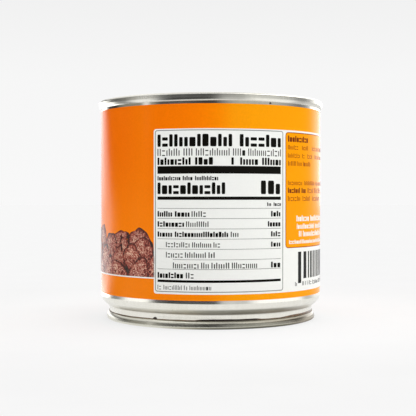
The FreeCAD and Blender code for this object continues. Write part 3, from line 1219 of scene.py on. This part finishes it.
# The table as metal mirrors it. TABLE is its tone far from the can. CONTACT is the tone of the can's own
# shadow at its foot, and CONTACT_FADE how fast that gives way, by ten times the distance from the axis in
# metres.
TABLE = [
    (-180, 0.62), (-150, 0.9), (-135, 1.35), (-128, 1.9), (-121, 1.6),
    (-113, 0.7), (-105, 0.12), (-92, 0.15), (-80, 0.6), (-58, 0.62),
    (-49, 0.06), (-40, 0.03), (4, 0.03), (12, 0.34), (30, 0.3), (42, 0.62),
    (88, 0.62), (96, 0.3), (106, 0.3), (118, 0.5), (180, 0.6),
]
CONTACT = [
    (-180, 0.3), (-120, 0.36), (-60, 0.5), (-28, 0.5), (-14, (0.3, 0.29, 0.26)),
    (-5, (0.12, 0.115, 0.1)), (3, (0.07, 0.07, 0.06)), (32, (0.06, 0.062, 0.05)), (46, (0.1, 0.1, 0.085)),
    (60, 0.3), (80, (0.18, 0.15, 0.11)), (107, (0.09, 0.08, 0.065)), (180, 0.3),
]
CONTACT_FADE = [(0.397, 0.1), (0.404, 0.4), (0.41, 0.8), (0.42, 0.95), (0.44, 1)]
NEAR_TABLE = 0.45
FAR_TABLE = 0.13
# Distances from the axis, in metres, over which the mirrored table turns to the room's tones, the room's
# tones turn to the plain far one, and the table that the camera sees loses its last bit of glow.
ROOM_REACH = (0.078, 0.1)
FAR_REACH = [(0.15, 0), (0.45, 0.25)]
GLOW_REACH = (0.06, 0.14)
GLOW_NEAR, GLOW_FAR = 0.93, 0.846
GLOW_SHARE = 0.72
table_half_width = 6000.0


def make_world():
    """Soft light by direction: a dim band round the horizon, broad lamps at the sides, a bright ceiling."""
    world = bpy.data.worlds.new("studio")
    bpy.context.scene.world = world
    world.use_nodes = True
    tree = world.node_tree
    tree.nodes.clear()
    direction = node(tree, "ShaderNodeTexCoord").outputs["Generated"]
    rise = parts_of(tree, direction)[2]
    share = turn_share(tree, direction)
    # Behind on the left the bright backdrop comes further round the lower it is.
    behind = times(tree, maths(tree, "SUBTRACT", 0.3, share), 10.0, clamp=True)
    swept = maths(tree, "ADD", share, times(tree, times(tree, rise, 0.45), behind))
    lamp = mixed(tree, eased(tree, rise, *STRIP_RISE), grey(0), degrees_ramp(tree, share, STRIP_LAMP))
    band = mixed(tree, lamp, degrees_ramp(tree, swept, SKYLINE), grey(STRIP_LAMP_TONE))
    band = mixed(tree, eased(tree, rise, *RISING_RISE), band, degrees_ramp(tree, swept, RISING))
    sides = mixed(tree, eased(tree, rise, *LAMPS_RISE), band, degrees_ramp(tree, share, SIDE_LAMPS))
    light = mixed(tree, eased(tree, rise, *CEILING_RISE), sides, degrees_ramp(tree, share, CEILING))
    # Straight up the metal mirrors a duller patch, so the lid stays below white when it is seen from above.
    path = node(tree, "ShaderNodeLightPath")
    above = times(tree, eased(tree, rise, *ZENITH_RISE), path.outputs["Is Glossy Ray"])
    light = mixed(tree, above, light, grey(ZENITH))
    seen = ramp(tree, maths(tree, "ADD", rise, 0.3), BACKDROP)
    lights = shining(tree, "ShaderNodeBackground", light, LIGHT_SCALE)
    view = shining(tree, "ShaderNodeBackground", seen, 1.0)
    both = mixed_shaders(tree, path.outputs["Is Camera Ray"], lights, view)
    node(tree, "ShaderNodeOutputWorld", {0: both})


def make_floor():
    """A wide pale table: white near the can, and in reflections it takes the band of the room further out."""
    material, tree, shader = surface("pale_table")
    place = object_place(tree)
    radius = distance_from_axis(tree, place)
    turn = turn_share(tree, place)
    clear = ramp(tree, times(tree, radius, 10.0), CONTACT_FADE)
    near = mixed(tree, clear, degrees_ramp(tree, turn, CONTACT), grey(NEAR_TABLE))
    room = mixed(tree, ramp(tree, radius, FAR_REACH), degrees_ramp(tree, turn, TABLE), grey(FAR_TABLE))
    mirrored = mixed(tree, eased(tree, radius, *ROOM_REACH), near, room)
    pale = ramp(tree, noise(tree, place, 40.0, 3.0), [(0.3, 0.79), (0.7, 0.82)])
    set_inputs(tree, shader, {"Base Color": pale, "Roughness": 0.9, "Specular IOR Level": 0.0})
    reflection = shining(tree, "ShaderNodeEmission", mirrored, LIGHT_SCALE)
    glow = mixed(tree, eased(tree, radius, *GLOW_REACH), grey(GLOW_NEAR), grey(GLOW_FAR))
    white = shining(tree, "ShaderNodeEmission", glow, 1.0)
    path = node(tree, "ShaderNodeLightPath")
    glowing = times(tree, path.outputs["Is Camera Ray"], GLOW_SHARE)
    seen = mixed_shaders(tree, glowing, shader.outputs[0], white)
    both = mixed_shaders(tree, path.outputs["Is Glossy Ray"], seen, reflection)
    set_inputs(tree, tree.nodes["Material Output"], {0: both})
    corners = np.array([[-1, -1, 0], [1, -1, 0], [1, 1, 0], [-1, 1, 0]]) * table_half_width / METRE
    mesh = bpy.data.meshes.new("table")
    mesh.from_pydata(corners.tolist(), [], [(0, 1, 2, 3)])
    mesh.materials.append(material)
    table = placed("table", mesh)


camera_distance = 0.37455
camera_height = 0.0453
camera_dip = 0.0103
camera_turn = 0.0026
lens_length = 84.69
film_width = 36.0


def make_camera():
    """A long lens at a little over half the can's height, pointing down by half a degree."""
    data = bpy.data.cameras.new("camera")
    data.sensor_width = film_width
    data.lens = lens_length
    camera = placed("camera", data)
    camera.location = (0.0, -camera_distance, camera_height)
    camera.rotation_euler = (math.radians(90) - camera_dip, 0.0, camera_turn)
    bpy.context.scene.camera = camera


make_tin()
make_traces()
make_label_sheet()
make_panels()
make_facts()
make_list()
make_bar_code()
make_front()
make_heap()
make_world()
make_floor()
make_camera()
bpy.context.scene.view_settings.view_transform = "Standard"
